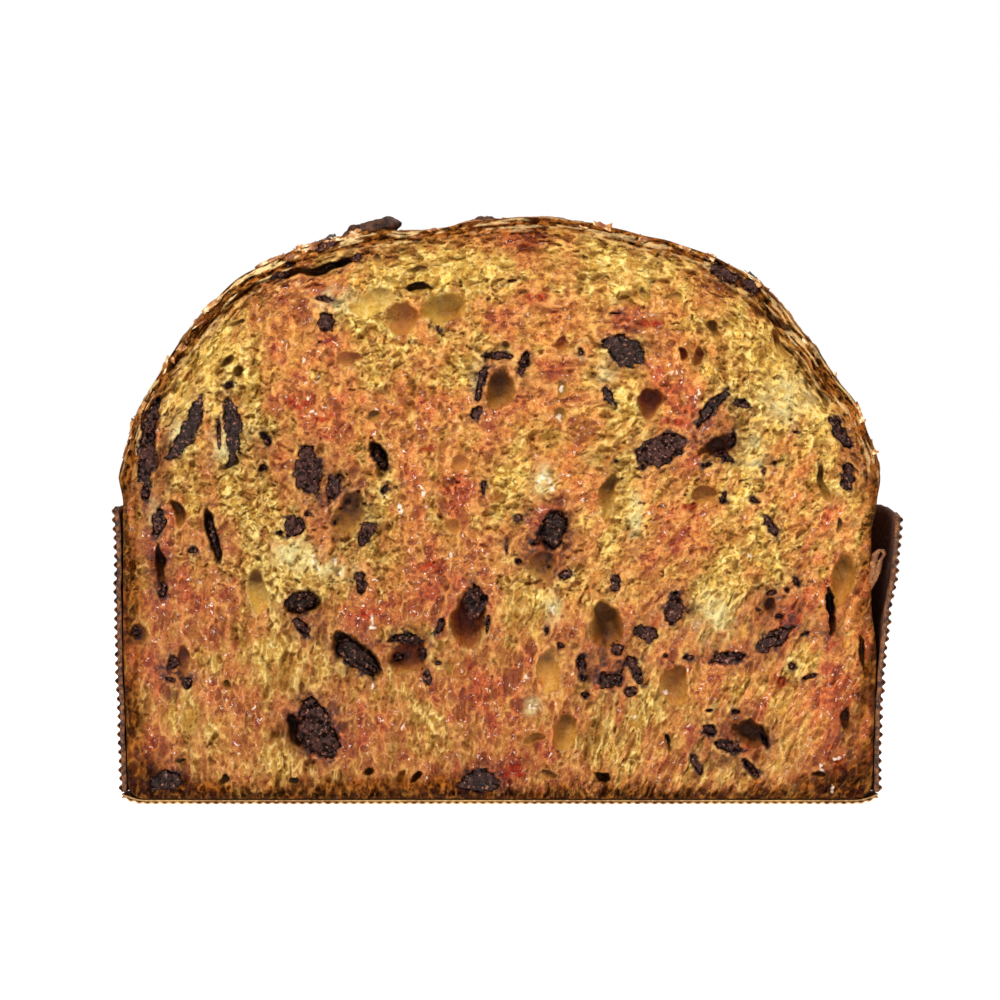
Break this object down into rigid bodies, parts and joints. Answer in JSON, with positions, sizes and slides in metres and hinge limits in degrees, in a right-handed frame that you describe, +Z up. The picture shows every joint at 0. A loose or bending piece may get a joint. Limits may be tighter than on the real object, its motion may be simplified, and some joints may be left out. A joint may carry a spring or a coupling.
{
  "type": "panettone",
  "caption": "Cut half of a domed sweet bread with open soaked crumb, dark chocolate pieces and a browned crust, standing on its flat base in a fluted baking-paper case.",
  "frame": {"origin": "on the flat underside of the paper case, on the loaf's middle line and 40 mm behind the cut face", "axes": "+X to the right along the cut face, +Y from the cut face back into the loaf, +Z up along the loaf's own axis"},
  "size_m": [0.1924, 0.0948, 0.1436],
  "materials": {
    "bread": "yellow baked crumb with red-orange soaked patches and a browned crust, matt to moist",
    "chocolate": "dark chocolate, half melted, satin to glossy",
    "case_paper": "brown fluted baking paper, matt, browned and buttery"
  },
  "bodies": {
    "root": {"bread": "bread", "case_wall": "case_paper", "case_base": "case_paper", "choc_arch": "chocolate", "choc_arch_mass": "chocolate", "choc_bean": "chocolate", "choc_blob_high": "chocolate", "choc_blob_side": "chocolate", "choc_boulder": "chocolate", "choc_cave_roof": "chocolate", "choc_chute_end": "chocolate", "choc_cluster_east": "chocolate", "choc_cluster_mid": "chocolate", "choc_cluster_west": "chocolate", "choc_crescent": "chocolate", "choc_crest_tail": "chocolate", "choc_crest_west": "chocolate", "choc_crown_west": "chocolate", "choc_crumbled": "chocolate", "choc_crust_band": "chocolate", "choc_cube_a": "chocolate", "choc_dice": "chocolate", "choc_dome_0": "chocolate", "choc_dome_1": "chocolate", "choc_dome_2": "chocolate", "choc_dome_3": "chocolate", "choc_dome_4": "chocolate", "choc_edge_high": "chocolate", "choc_edge_low": "chocolate", "choc_foot_mid": "chocolate", "choc_foot_west": "chocolate", "choc_gap_lining": "chocolate", "choc_hook": "chocolate", "choc_hook_tip": "chocolate", "choc_knot": "chocolate", "choc_ledge_foot": "chocolate", "choc_long_east": "chocolate", "choc_long_west": "chocolate", "choc_pair_high": "chocolate", "choc_pair_low": "chocolate", "choc_pearl_a": "chocolate", "choc_pit_west": "chocolate", "choc_plum": "chocolate", "choc_pocket_east": "chocolate", "choc_pocket_mid": "chocolate", "choc_pocket_west": "chocolate", "choc_ring_east": "chocolate", "choc_ring_roof": "chocolate", "choc_ring_west": "chocolate", "choc_shade": "chocolate", "choc_shards_west": "chocolate", "choc_shoulder_east": "chocolate", "choc_shoulder_tip": "chocolate", "choc_side_stub": "chocolate", "choc_slab": "chocolate", "choc_soot": "chocolate", "choc_splinter_b": "chocolate", "choc_strip_east": "chocolate", "choc_strip_west": "chocolate"}
  },
  "joints": []
}
